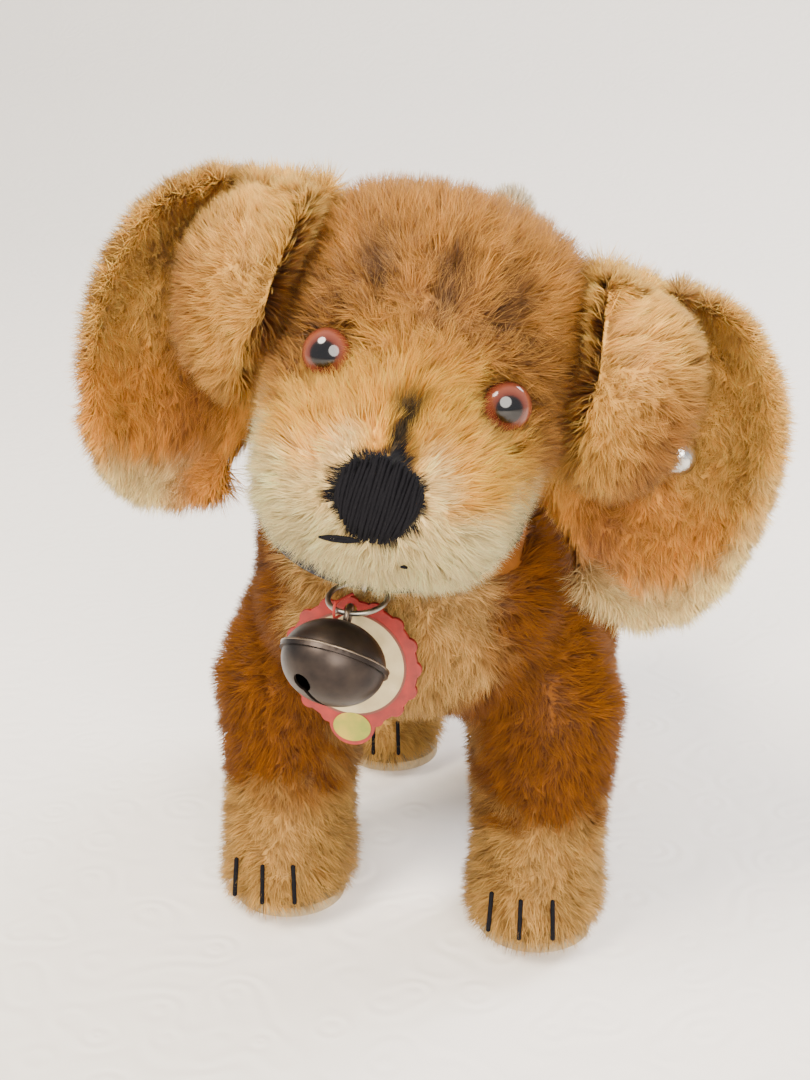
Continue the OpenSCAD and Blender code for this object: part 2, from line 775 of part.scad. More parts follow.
module button_place() { translate(button_at) rotate([90, 0, 0]) children(); }
module ear_button() {
    color("silver") in_head() button_place() {
        translate([0, 0, 3.2]) intersection() {
            translate([0, 0, -2.4]) sphere(3.9, $fn = 48);
            cylinder(r = button_d / 2, h = 3, $fn = 48);
        }
        translate([0, 0, 1.4]) cylinder(r = 0.9, h = 2, $fn = 24);
    }
}

// The outer box's middle goes over the origin: the ears are its sides, the muzzle and tail its ends
function rims() = [for (j = [0 : ear_cols], side = [-1, 1])
    ear_mid(1, j / ear_cols) + [0, side * ear_thick(1), 0]];
function posed(p) = let (c = hinge_at + [0, 0, ear_top])
    c + turn_z(turn_y(p - c, ear_drop), -ear_turn);
box_left = max([for (p = rims()) on_head(p)[0]]);
box_right = min([for (p = rims()) let (q = posed(p)) on_head([-q[0], q[1], q[2]])[0]]);
box_front = on_head([0, -muzzle_reach - 0.8, 14])[1];
box_back = rump_back + 7 + 0.81 * tail_r;
middle = [(box_left + box_right) / 2, (box_front + box_back) / 2, 0];

placed() {
    body_side_left();
    body_side_right();
    belly_gusset();
    body_stuffing();
    sole(0);  // sole_front_left
    sole(1);  // sole_front_right
    sole(2);  // sole_rear_left
    sole(3);  // sole_rear_right
    claws(0);  // claws_front_left
    claws(1);  // claws_front_right
    claws(2);  // claws_rear_left
    claws(3);  // claws_rear_right
    leg_wire(wire_front_y, wire_front_x, leg_wire_r, wire_foot);  // leg_wire_front
    leg_wire(wire_rear_y, wire_rear_x, leg_wire_r, wire_foot);  // leg_wire_rear
    tail_cover();
    tail_stuffing();
    neck_disc_body();
    neck_washer_body();
    neck_disc_head();
    neck_washer_head();
    neck_cotter_pin();
    collar_strap();
    collar_buckle();
    collar_staple();
    collar_ring();
    bell_top();
    bell_bottom();
    bell_eye();
    bell_pellet();
    tag_card();
    tag_thread();
    head_side(1);  // head_side_left
    head_side(-1);  // head_side_right
    head_gusset();
    head_stuffing();
    eye_glass(1);  // eye_glass_left
    eye_glass(-1);  // eye_glass_right
    eye_backing(1);  // eye_backing_left
    eye_backing(-1);  // eye_backing_right
    eye_shank(1);  // eye_shank_left
    eye_shank(-1);  // eye_shank_right
    nose_stitching();
    mouth_stitching();
    color("#c98f45") ear_layer_on(1, -1);  // ear_front_left
    color("#b5823f") ear_layer_on(1, 1);  // ear_back_left
    color("#c98f45") ear_layer_on(-1, -1);  // ear_front_right
    color("#b5823f") ear_layer_on(-1, 1);  // ear_back_right
    ear_button();
}
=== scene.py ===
import json
import math
import bmesh
import bpy
import numpy as np
from mathutils import Matrix, Vector
from mathutils.bvhtree import BVHTree


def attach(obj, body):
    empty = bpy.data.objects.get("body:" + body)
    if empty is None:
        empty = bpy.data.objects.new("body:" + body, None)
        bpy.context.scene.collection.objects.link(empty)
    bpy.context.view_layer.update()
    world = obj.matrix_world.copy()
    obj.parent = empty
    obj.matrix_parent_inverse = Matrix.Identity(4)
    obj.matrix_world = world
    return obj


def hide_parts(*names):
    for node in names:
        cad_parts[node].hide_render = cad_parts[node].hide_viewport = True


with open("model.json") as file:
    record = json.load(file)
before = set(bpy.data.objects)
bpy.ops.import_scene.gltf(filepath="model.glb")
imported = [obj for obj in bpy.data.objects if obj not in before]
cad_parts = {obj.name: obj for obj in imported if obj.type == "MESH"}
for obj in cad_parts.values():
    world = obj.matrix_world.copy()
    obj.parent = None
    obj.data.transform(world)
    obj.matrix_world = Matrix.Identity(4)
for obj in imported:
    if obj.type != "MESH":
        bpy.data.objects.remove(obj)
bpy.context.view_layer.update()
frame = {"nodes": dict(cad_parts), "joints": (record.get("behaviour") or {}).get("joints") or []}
mm = 0.001
nodes = frame["nodes"]
joints = {j["name"]: j for j in frame["joints"]}


def linear(hexColour, alpha=1.0):
    out = []
    for i in (1, 3, 5):
        v = int(hexColour[i:i + 2], 16) / 255
        out.append(v / 12.92 if v <= 0.04045 else ((v + 0.055) / 1.055) ** 2.4)
    return (*out, alpha)


def rgb(hexColour):
    return np.array(linear(hexColour)[:3], np.float32)


# Places taken from the frame

def vertsOf(name):
    mesh = nodes[name].data
    co = np.zeros(len(mesh.vertices) * 3, np.float32)
    mesh.vertices.foreach_get("co", co)
    return co.reshape(-1, 3) / mm


def middleOf(name):
    return vertsOf(name).mean(0)


def unit(v):
    return v / np.maximum(np.linalg.norm(v, axis=-1, keepdims=True), 1e-9)


# The head's own frame in millimetres: middle between the eyes, X to its left, Y back, Z up
eyePlace = {s: middleOf("eye_backing_" + s) for s in ("left", "right")}
faceMiddle = (eyePlace["left"] + eyePlace["right"]) / 2
headUp = unit(np.array(joints["ear_left_flap"]["axis"], float))
headSide = eyePlace["left"] - eyePlace["right"]
headSide = unit(headSide - headUp * (headSide @ headUp))
headBack = np.cross(headUp, headSide)
headAxes = np.stack([headSide, headBack, headUp], 1)


def toHead(p):
    return (p - faceMiddle) @ headAxes


def fromHead(q):
    return np.asarray(q, float) @ headAxes.T + faceMiddle


noseAt = toHead(middleOf("nose_stitching"))
bodyMiddleX = float((middleOf("sole_front_left")[0] + middleOf("sole_front_right")[0]) / 2)

# Materials

def newMaterial(name):
    mat = bpy.data.materials.new(name)
    mat.use_nodes = True
    tree = mat.node_tree
    return mat, tree, tree.nodes["Principled BSDF"]


def add(tree, kind, settings=None, links=None):
    made = tree.nodes.new(kind)
    for key, value in (settings or {}).items():
        if isinstance(key, int) or key in made.inputs:
            made.inputs[key].default_value = value
        else:
            setattr(made, key, value)
    for key, source in (links or {}).items():
        tree.links.new(source, made.inputs[key])
    return made


def bumped(tree, shader, height, strength, distance):
    bump = add(tree, "ShaderNodeBump", {"Strength": strength, "Distance": distance}, {"Height": height})
    tree.links.new(bump.outputs[0], shader.inputs["Normal"])


def plainMaterial(name, colour, roughness=0.5, metallic=0.0, noise=0.0, scale=400.0, bump=0.0, second=None,
                  shine=0.5):
    mat, tree, shader = newMaterial(name)
    shader.inputs["Base Color"].default_value = linear(colour)
    shader.inputs["Roughness"].default_value = roughness
    shader.inputs["Metallic"].default_value = metallic
    shader.inputs["Specular IOR Level"].default_value = shine
    if noise or bump:
        place = add(tree, "ShaderNodeTexCoord")
        grain = add(tree, "ShaderNodeTexNoise", {"Scale": scale, "Detail": 5.0}, {"Vector": place.outputs["Object"]})
        if noise:
            mixed = add(tree, "ShaderNodeMix", {"data_type": "RGBA"})
            mixed.inputs[6].default_value = linear(colour)
            mixed.inputs[7].default_value = linear(second or colour)
            span = {"From Min": 0.5 - noise / 2, "From Max": 0.5 + noise / 2}
            ramp = add(tree, "ShaderNodeMapRange", span, {"Value": grain.outputs["Fac"]})
            tree.links.new(ramp.outputs[0], mixed.inputs[0])
            tree.links.new(mixed.outputs[2], shader.inputs["Base Color"])
        if bump:
            bumped(tree, shader, grain.outputs["Fac"], bump, 0.0004)
    return mat


def mohairMaterial(name, roughness, sheen, glow):
    mat, tree, shader = newMaterial(name)
    tint = add(tree, "ShaderNodeAttribute", {"attribute_name": "tint"})
    pile = add(tree, "ShaderNodeAttribute", {"attribute_name": "pileNormal"})
    turning = {"vector_type": "NORMAL", "convert_from": "OBJECT", "convert_to": "WORLD"}
    turned = add(tree, "ShaderNodeVectorTransform", turning, {"Vector": pile.outputs["Vector"]})
    tree.links.new(tint.outputs["Color"], shader.inputs["Base Color"])
    tree.links.new(turned.outputs[0], shader.inputs["Normal"])
    shader.inputs["Roughness"].default_value = roughness
    shader.inputs["Specular IOR Level"].default_value = 0.35
    shader.inputs["Sheen Weight"].default_value = sheen
    shader.inputs["Sheen Roughness"].default_value = 0.4
    through = add(tree, "ShaderNodeBsdfTranslucent", {}, {"Color": tint.outputs["Color"]})
    both = add(tree, "ShaderNodeMixShader", {"Fac": glow})
    tree.links.new(shader.outputs[0], both.inputs[1])
    tree.links.new(through.outputs[0], both.inputs[2])
    out = [n for n in tree.nodes if n.type == "OUTPUT_MATERIAL"][0]
    tree.links.new(both.outputs[0], out.inputs["Surface"])
    return mat


def skinMaterial(name):
    mat, tree, shader = newMaterial(name)
    tint = add(tree, "ShaderNodeAttribute", {"attribute_name": "tint"})
    tree.links.new(tint.outputs["Color"], shader.inputs["Base Color"])
    shader.inputs["Roughness"].default_value = 0.9
    place = add(tree, "ShaderNodeTexCoord")
    weave = add(tree, "ShaderNodeTexNoise", {"Scale": 900.0, "Detail": 3.0}, {"Vector": place.outputs["Object"]})
    bumped(tree, shader, weave.outputs["Fac"], 0.6, 0.0003)
    return mat


mohair = mohairMaterial("mohair", 0.5, 0.06, 0.5)
backing = skinMaterial("mohairBacking")
blackThread = plainMaterial("blackThread", "#08070b", 0.8, bump=0.5, scale=1500, shine=0.12)
redThread = plainMaterial("redThread", "#9c2a20", 0.7, bump=0.4, scale=1500)
leather = plainMaterial("collarLeather", "#17171a", 0.6, noise=0.4, second="#26252a", scale=500, bump=0.35, shine=0.25)
steel = plainMaterial("steelWire", "#a9a59c", 0.36, metallic=1.0, noise=0.5, second="#6f6a60", scale=300)
bellMetal = plainMaterial("bellMetal", "#211c1b", 0.4, metallic=0.85, noise=0.45, second="#3d342e", scale=220, bump=0.12)
bellEdge = plainMaterial("bellEdge", "#7d6f60", 0.3, metallic=1.0, noise=0.5, second="#4b423a", scale=600)
buttonMetal = plainMaterial("buttonMetal", "#d9d7d2", 0.22, metallic=1.0, noise=0.5, second="#8e8b86", scale=420, bump=0.9)
felt = plainMaterial("felt", "#b8a583", 0.95, noise=0.6, second="#9a8868", scale=700, bump=0.8)
cardRed = plainMaterial("cardRed", "#8a160d", 0.55, noise=0.5, second="#66100a", scale=500, bump=0.1)
cardCream = plainMaterial("cardCream", "#b3a27c", 0.6, noise=0.5, second="#94835d", scale=300, bump=0.1)
cardGold = plainMaterial("cardYellow", "#a98a1c", 0.6, noise=0.5, second="#54701c", scale=260, bump=0.1)
cardDark = plainMaterial("cardLine", "#5d2a1e", 0.5)
straw = plainMaterial("woodWool", "#c9ad78", 0.85, noise=0.5, second="#a4854f", scale=500, bump=0.6)
darkBack = plainMaterial("eyeBacking", "#1a1210", 0.4)

# Mesh helpers

def newObject(name, mesh, mats):
    obj = bpy.data.objects.new(name, mesh)
    bpy.context.scene.collection.objects.link(obj)
    for m in mats:
        mesh.materials.append(m)
    return obj


def place(obj, body, slot, replaced=()):
    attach(obj, body)
    if replaced:
        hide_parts(*replaced)
    return obj


def copied(names):
    bm = bmesh.new()
    for n in names:
        bm.from_mesh(nodes[n].data)
    return bm


def smoothMesh(bm, name):
    mesh = bpy.data.meshes.new(name)
    bm.to_mesh(mesh)
    bm.free()
    mesh.shade_smooth()
    return mesh


def smoothed(bm, times):
    for _ in range(times):
        bmesh.ops.smooth_vert(bm, verts=bm.verts, factor=0.5, use_axis_x=True, use_axis_y=True, use_axis_z=True)


def polished(name, node, mat, body, slot, angle=35, bevel=0.0, grow=0.0):
    bm = copied([node])
    bmesh.ops.remove_doubles(bm, verts=bm.verts, dist=1e-6)
    if grow:
        bm.normal_update()
        for v in bm.verts:
            v.co += v.normal * grow * mm
    mesh = smoothMesh(bm, name)
    mesh.set_sharp_from_angle(angle=math.radians(angle))
    obj = newObject(name, mesh, [mat])
    if bevel:
        mod = obj.modifiers.new("edge", "BEVEL")
        mod.width, mod.segments, mod.limit_method, mod.angle_limit = bevel * mm, 2, "ANGLE", math.radians(40)
    return place(obj, body, slot, [node])


def tubes(name, paths, radius, mat, body, slot, replaced=(), sides=6):
    bm = bmesh.new()
    for path in paths:
        pts = [Vector(p) * mm for p in path]
        rings = []
        for i, p in enumerate(pts):
            along = (pts[min(i + 1, len(pts) - 1)] - pts[max(i - 1, 0)]).normalized()
            side = along.cross(Vector((0.3, 0.9, 0.31))).normalized()
            other = along.cross(side)
            r = radius * mm * (0.55 if i in (0, len(pts) - 1) else 1.0)
            rings.append([bm.verts.new(p + (side * math.cos(a) + other * math.sin(a)) * r)
                          for a in (2 * math.pi * k / sides for k in range(sides))])
        for a, b in zip(rings, rings[1:]):
            for k in range(sides):
                bm.faces.new((a[k], a[(k + 1) % sides], b[(k + 1) % sides], b[k]))
        bm.faces.new(list(reversed(rings[0])))
        bm.faces.new(rings[-1])
    bmesh.ops.recalc_face_normals(bm, faces=bm.faces)
    mesh = smoothMesh(bm, name)
    return place(newObject(name, mesh, [mat]), body, slot, replaced)


def skinArrays(mesh):
    mesh.calc_loop_triangles()
    co = np.zeros(len(mesh.vertices) * 3, np.float32)
    mesh.vertices.foreach_get("co", co)
    no = np.zeros(len(mesh.vertices) * 3, np.float32)
    mesh.vertices.foreach_get("normal", no)
    tri = np.zeros(len(mesh.loop_triangles) * 3, np.int32)
    mesh.loop_triangles.foreach_get("vertices", tri)
    return co.reshape(-1, 3) / mm, no.reshape(-1, 3), tri.reshape(-1, 3)


# A smooth skin under the tips of the pile, from CAD nodes joined and remeshed
def skin(name, parts, voxel, inset, smooth, body, slot, replaced, tintOf):
    bm = copied(parts)
    mesh = bpy.data.meshes.new(name + "Raw")
    bm.to_mesh(mesh)
    bm.free()
    raw = newObject(name + "Raw", mesh, [])
    mod = raw.modifiers.new("remesh", "REMESH")
    mod.mode, mod.voxel_size, mod.adaptivity = "VOXEL", voxel * mm, 0.0
    done = raw.evaluated_get(bpy.context.evaluated_depsgraph_get())
    bm = bmesh.new()
    bm.from_mesh(done.to_mesh())
    done.to_mesh_clear()
    bpy.data.objects.remove(raw)
    # only the outermost shell is kept
    bm.verts.ensure_lookup_table()
    group = [-1] * len(bm.verts)
    sizes = []
    for start in range(len(bm.verts)):
        if group[start] >= 0:
            continue
        stack, count = [bm.verts[start]], 0
        group[start] = len(sizes)
        while stack:
            v = stack.pop()
            count += 1
            for e in v.link_edges:
                w = e.other_vert(v)
                if group[w.index] < 0:
                    group[w.index] = len(sizes)
                    stack.append(w)
        sizes.append(count)
    keep = int(np.argmax(sizes))
    bmesh.ops.delete(bm, geom=[v for v in bm.verts if group[v.index] != keep], context="VERTS")
    smoothed(bm, smooth)
    bm.normal_update()
    tree = BVHTree.FromBMesh(bm)
    moves, edges = [], []
    for v in bm.verts:
        want = inset(np.array(v.co) / mm) if callable(inset) else inset
        hit = tree.ray_cast(v.co - v.normal * 0.05 * mm, -v.normal, 14 * mm)
        room = hit[3] / mm if hit[3] else 14
        moves.append(min(want, 0.4 * room) * mm)
        bend = 1 - min(v.normal.dot(f.normal) for f in v.link_faces)
        edges.append(max(min(1.0, max(0.0, (3.6 - room) / 1.4)), min(1.0, max(0.0, (bend - 0.04) * 9))))
    for v, m in zip(bm.verts, moves):
        v.co -= v.normal * m
    smoothed(bm, 3)
    mesh = smoothMesh(bm, name)
    co, no, _ = skinArrays(mesh)
    root, tip = tintOf(co, no, np.random.default_rng(1))
    root = root * 0.6 + tip * 0.4
    thinness = mesh.attributes.new("edge", "FLOAT", "POINT")
    thinness.data.foreach_set("value", np.array(edges, np.float32))
    layer = mesh.attributes.new("tint", "FLOAT_COLOR", "POINT")
    shades = np.concatenate([root * 0.85, np.ones((len(co), 1), np.float32)], 1)
    layer.data.foreach_set("color", shades.astype(np.float32).ravel())
    obj = newObject(name, mesh, [backing])
    place(obj, body, slot, replaced)
    print(name, len(mesh.vertices), "vertices")
    return obj


# Pile: every strand is a tapering ribbon of two faces

def waves(p, size, seed, parts=3):
    rng = np.random.default_rng(seed)
    out = np.zeros((len(p), parts), np.float32)
    for _ in range(7):
        k = rng.normal(size=3)
        k = k / np.linalg.norm(k) * 2 * math.pi / size * rng.uniform(0.6, 1.5)
        phase = (p @ k.astype(np.float32))[:, None] + rng.uniform(0, 2 * math.pi, parts)[None]
        out += np.sin(phase).astype(np.float32)
    return out / 2.2


# For each point, the middle of the tuft it belongs to
def tufts(p, size, seed):
    cell = np.floor(p / size).astype(np.int64)
    best = np.full(len(p), 1e9, np.float32)
    centre = np.zeros_like(p)
    for dx in (-1, 0, 1):
        for dy in (-1, 0, 1):
            for dz in (-1, 0, 1):
                c = cell + np.array([dx, dy, dz])
                h = (c[:, 0] * 73856093) ^ (c[:, 1] * 19349663) ^ (c[:, 2] * 83492791) ^ seed
                j = np.stack([((h >> s) & 1023) / 1023.0 for s in (0, 10, 20)], 1).astype(np.float32)
                q = (c + j) * size
                d = ((q - p) ** 2).sum(1)
                near = d < best
                best[near] = d[near]
                centre[near] = q[near]
    return centre.astype(np.float32)


def steps(x, low, high):
    t = np.clip((x - low) / (high - low), 0, 1)
    return (t * t * (3 - 2 * t)).astype(np.float32)


def spot(q, at, radii):
    d = (((q - np.array(at, np.float32)) / np.array(radii, np.float32)) ** 2).sum(1)
    return np.exp(-d).astype(np.float32)


def pileOn(obj, names, seed, density, shape, tintOf, body, slot, panelOf,
           width=0.12, tuft=1.7, pull=0.35, clear=None, edgeMore=0.6):
    co, no, tri = skinArrays(obj.data)
    a, b, c = co[tri[:, 0]], co[tri[:, 1]], co[tri[:, 2]]
    area = np.linalg.norm(np.cross(b - a, c - a), axis=1) / 2
    edge = np.zeros(len(co), np.float32)
    obj.data.attributes["edge"].data.foreach_get("value", edge)
    weight = area * density((a + b + c) / 3) * (1 + edgeMore * edge[tri].mean(1))
    rng = np.random.default_rng(seed)
    n = int(weight.sum())
    pick = np.searchsorted(np.cumsum(weight), rng.uniform(0, weight.sum(), n)).clip(0, len(tri) - 1)
    u, v = rng.uniform(size=(2, n)).astype(np.float32)
    flip = u + v > 1
    u[flip], v[flip] = 1 - u[flip], 1 - v[flip]
    w = 1 - u - v
    mixed = lambda arr: (arr[tri[pick, 0]] * w[:, None] + arr[tri[pick, 1]] * u[:, None]
                         + arr[tri[pick, 2]] * v[:, None])
    p, nrm = mixed(co), unit(mixed(no)).astype(np.float32)
    rim = mixed(edge[:, None])
    keep = np.ones(n, bool) if clear is None else clear(p)
    p, nrm, rim = p[keep], nrm[keep], rim[keep]
    n = len(p)
    length, comb, lean = shape(p, nrm)
    comb = comb - nrm * (comb * nrm).sum(1, keepdims=True)
    comb = unit(comb)
    centre = tufts(p, tuft, seed)
    loose = waves(p, 9.0, seed + 3) * 0.16 + waves(centre, 3.4, seed + 4) * 0.3
    loose = loose - nrm * (loose * nrm).sum(1, keepdims=True)
    stray = rng.normal(size=(n, 3)).astype(np.float32) * (0.16 + 0.4 * rim)
    first = unit(nrm + comb * (lean * 0.75)[:, None] + loose * 0.7 + stray)
    second = unit(nrm + comb * (lean * 1.35)[:, None] + loose * 1.4 + stray * 1.8)
    length = length * rng.uniform(0.86, 1.06, n).astype(np.float32)
    p0 = p - nrm * 0.25
    p1 = p0 + first * (length * 0.52)[:, None]
    p2 = p1 + second * (length * 0.5)[:, None]
    drift = centre - p
    drift = drift - nrm * (drift * nrm).sum(1, keepdims=True)
    p1 = p1 + drift * pull * 0.4
    p2 = p2 + drift * pull
    side = unit(np.cross(p2 - p0, rng.normal(size=(n, 3)).astype(np.float32)))
    thick = (width * rng.uniform(0.7, 1.25, n).astype(np.float32))[:, None] / 2
    for q in (p1, p2):
        q[:, 2] = np.maximum(q[:, 2], 0.3)
    verts = np.stack([p0 - side * thick, p0 + side * thick,
                      p1 - side * thick * 0.85, p1 + side * thick * 0.85, p2], 1) * mm
    root, tip = tintOf(p, nrm, rng)
    shade = rng.uniform(0.8, 1.14, (n, 1)).astype(np.float32)
    tone = waves(centre, 4.0, seed + 8, 1) * 0.09 + 1
    glint = 1 + 0.3 * (rng.uniform(size=(n, 1)) < 0.14)
    root, tip = root * shade * tone, (tip * shade * tone * glint).astype(np.float32)
    middle = root * 0.45 + tip * 0.55
    tints = np.stack([root * 0.72, root * 0.72, middle, middle, tip], 1)
    facing = unit(nrm + unit(p2 - p0) * 0.25 + side * rng.uniform(-0.35, 0.35, (n, 1)).astype(np.float32))
    group = panelOf(p)
    for g, name in enumerate(names):
        sel = np.nonzero(group == g)[0]
        if len(sel) == 0:
            continue
        k = len(sel)
        mesh = bpy.data.meshes.new(name)
        mesh.vertices.add(k * 5)
        mesh.vertices.foreach_set("co", verts[sel].astype(np.float32).ravel())
        base = (np.arange(k, dtype=np.int32) * 5)[:, None]
        mesh.loops.add(k * 7)
        mesh.loops.foreach_set("vertex_index", (base + np.array([0, 1, 3, 2, 2, 3, 4], np.int32)).ravel())
        mesh.polygons.add(k * 2)
        starts = (np.arange(k, dtype=np.int32) * 7)[:, None] + np.array([0, 4], np.int32)
        mesh.polygons.foreach_set("loop_start", starts.ravel())
        mesh.update(calc_edges=True)
        tint = mesh.attributes.new("tint", "FLOAT_COLOR", "POINT")
        shades = np.concatenate([np.clip(tints[sel], 0, 1), np.ones((k, 5, 1), np.float32)], 2)
        tint.data.foreach_set("color", shades.astype(np.float32).ravel())
        normal = mesh.attributes.new("pileNormal", "FLOAT_VECTOR", "POINT")
        normal.data.foreach_set("vector", np.repeat(facing[sel], 5, 0).astype(np.float32).ravel())
        mesh.shade_smooth()
        place(newObject(name, mesh, [mohair]), body, slot)
        print(name, k, "strands")


# Colours of the pile

gold, tan, cream, brown = rgb("#f0a127"), rgb("#b87628"), rgb("#ffdf97"), rgb("#5a3a20")
goldTip, tanTip, creamTip = rgb("#ffcb58"), rgb("#dca14c"), rgb("#ffefb7")
caramel, caramelTip = rgb("#783f01"), rgb("#a66306")
# the third ear colour on the next line is painted shade for the ear's crease
earTan, earRimPaleGlow, creaseShade = rgb("#d89838"), rgb("#ffe7a5"), rgb("#94501c")


def blendTint(base, other, mask):
    return base * (1 - mask[:, None]) + other * mask[:, None]


# Below 1 inside the stitched nose's outline
def onNose(q):
    flat = ((q[:, 0] - noseAt[0]) / 6.3) ** 2 + ((q[:, 2] - noseAt[2]) / 6.0) ** 2
    return flat + 9 * (q[:, 1] > -6)


def headTint(p, nrm, rng):
    q = toHead(p).astype(np.float32)
    rough = waves(p, 4.0, 77, 1)[:, 0]
    d = np.linalg.norm(q - noseAt, axis=1)
    root = np.repeat(tan[None], len(p), 0)
    tip = np.repeat(tanTip[None], len(p), 0)
    golden = steps(32 - d + rough * 2, 0, 14) * steps(-q[:, 1], -12, 0)
    root, tip = blendTint(root, gold, golden), blendTint(tip, goldTip, golden)
    low = steps(-q[:, 2] + 0.28 * np.abs(q[:, 0]) + rough * 1.2, 13.5, 20) * steps(-q[:, 1], -16, -4)
    root, tip = blendTint(root, cream * 0.9, low), blendTint(tip, creamTip, low)
    ring = np.exp(-((d - 8.2) / 2.6) ** 2) * steps(np.abs(q[:, 0]), 2.5, 6) * 0.75
    root, tip = blendTint(root, cream, ring), blendTint(tip, creamTip, ring)
    dark = np.zeros(len(p), np.float32)
    for x, z, w, h in ((-9.5, 14, 2.4, 5), (0.8, 14.5, 2.2, 4.5), (9.2, 14, 2.6, 5), (-12, 20, 3, 4), (12, 21, 3, 4)):
        dark = np.maximum(dark, spot(q[:, [0, 2]], (x, z), (w, h)) * steps(-q[:, 1], -14, -2))
    for x in (-1, 1):
        dark = np.maximum(dark, 0.8 * spot(q, (x * 20, 2, 5), (4.5, 7, 7.5)))
        dark = np.maximum(dark, 0.7 * spot(q, (x * 15.5, 0, 7.5), (5, 8, 2.6)))
    dark = np.clip(dark * 1.15 + rough * 0.12 * (dark > 0.12), 0, 0.9)
    lucky = (rng.uniform(size=len(p)) < dark).astype(np.float32)
    root = blendTint(root, brown, np.clip(dark * 0.8 + lucky * 0.2, 0, 1))
    tip = blendTint(tip, brown * 1.5, np.clip(dark * 0.35 + lucky * 0.55, 0, 1))
    stripe = np.exp(-((q[:, 0] - 0.6 - rough * 0.5) / 1.8) ** 2) * steps(q[:, 2], -11, -8)
    stripe = stripe * steps(-q[:, 2], -0.5, 4) * steps(-q[:, 1], 3, 8)
    black = rgb("#1d1814")
    root = blendTint(root, black, np.clip(stripe * 1.3, 0, 1))
    tip = blendTint(tip, black * 1.6, np.clip(stripe * 1.2, 0, 0.95))
    spread = onNose(q) + rough * 0.12
    nose = steps(1.12 - spread, 0, 0.16)
    root, tip = blendTint(root, rgb("#08070b"), nose), blendTint(tip, rgb("#14131c"), nose)
    return root.astype(np.float32), tip.astype(np.float32)


def bodyTint(p, nrm, rng):
    x = p[:, 0] - bodyMiddleX
    rough = waves(p, 7.0, 21, 1)[:, 0]
    root = np.repeat(caramel[None], len(p), 0)
    tip = np.repeat(caramelTip[None], len(p), 0)
    chest = steps(-p[:, 1] - 0.5 * np.abs(x) + rough * 1.5, 23, 31) * steps(p[:, 2], 38, 46) * steps(-np.abs(x), -22, -15)
    inner = steps(-p[:, 2] + rough, -47, -43) * steps(-np.abs(x) + rough, -17, -11) * 0.75
    pale = np.maximum(chest, inner)
    root, tip = blendTint(root, rgb("#cc9347"), pale), blendTint(tip, rgb("#ecc276"), pale)
    paw = steps(-p[:, 2] + rough * 2, -30, -20)
    root, tip = blendTint(root, rgb("#be883d"), paw), blendTint(tip, rgb("#e7ba69"), paw)
    # the pile turns darker and greyer over the last few millimetres above the floor
    lowestDarkening = steps(-p[:, 2] + rough * 1.5, -7, -3) * 0.45
    root, tip = blendTint(root, rgb("#80683f"), lowestDarkening), blendTint(tip, rgb("#b59761"), lowestDarkening)
    return root.astype(np.float32), tip.astype(np.float32)


def tailTint(p, nrm, rng):
    end = steps(p[:, 2] + waves(p, 6.0, 5, 1)[:, 0] * 2, 100, 112)
    root = blendTint(np.repeat(caramel[None], len(p), 0), rgb("#c7a878"), end)
    tip = blendTint(np.repeat(caramelTip[None], len(p), 0), rgb("#efe0bd"), end)
    return root.astype(np.float32), tip.astype(np.float32)


earHinge = {s: toHead(np.array(joints["ear_" + s + "_flap"]["pos_m"]) / mm) for s in ("left", "right")}


# 1 at an ear's rim, from the distance out of its seam
def earReach(out, q):
    return np.hypot((out - 16) / 19, (q[:, 2] + 4) / 27)


def earTint(side):
    sign = 1 if side == "left" else -1

    def tintOf(p, nrm, rng):
        q = toHead(p).astype(np.float32)
        out = sign * (q[:, 0] - earHinge[side][0])
        rough = waves(p, 4.0, 31, 1)[:, 0]
        ahead = steps(-q[:, 1], 4.5, 7.5)
        root = blendTint(np.repeat(earTan[None], len(p), 0), rgb("#e7ae51"), ahead)
        tip = blendTint(np.repeat(rgb("#fcca6b")[None], len(p), 0), rgb("#ffe69e"), ahead)
        low = steps(-q[:, 2] + rough * 2, 6, 18) * (1 - ahead)
        root, tip = blendTint(root, rgb("#dd8723"), low * 0.8), blendTint(tip, rgb("#f9af43"), low * 0.7)
        # painted shade: on the ear's forward-facing side, the crease between lobe and flap is darkened towards
        # red-brown
        creaseShadeMask = np.exp(-((out - 13 - 0.12 * (q[:, 2] + 8)) / 5.0) ** 2) * steps(-q[:, 2] + 14, 0, 12)
        creaseShadeMask = creaseShadeMask * (1 - ahead) * (nrm @ (-headBack).astype(np.float32) > 0.1)
        root, tip = blendTint(root, creaseShade, creaseShadeMask * 0.85), blendTint(tip, creaseShade * 1.25, creaseShadeMask * 0.6)
        # partly the fringe's own paler tips, partly painted rim light: strands at the ear's rim get paler roots and
        # much paler tips
        rim = steps(earReach(out, q) + rough * 0.03, 0.84, 1.02) * steps(out, 6, 13)
        root, tip = blendTint(root, rgb("#cf9b4f"), rim * 0.7), blendTint(tip, earRimPaleGlow, rim)
        grizzle = ahead * steps(-out, -5, -1) * np.exp(-((q[:, 2] - 2) / 7) ** 4)
        pick = (rng.uniform(size=len(p)) < 0.45)[:, None]
        streak = np.where(pick, rgb("#e9e2d2")[None], rgb("#54402c")[None])
        root, tip = blendTint(root, rgb("#5b452f"), grizzle * 0.7), blendTint(tip, streak, grizzle * 0.85)
        return root.astype(np.float32), tip.astype(np.float32)

    return tintOf


# Skins

def headInset(p):
    d = float(np.linalg.norm(toHead(p) - noseAt))
    return 1.6 + 2.0 * min(1.0, max(0.0, (d - 6) / 16))


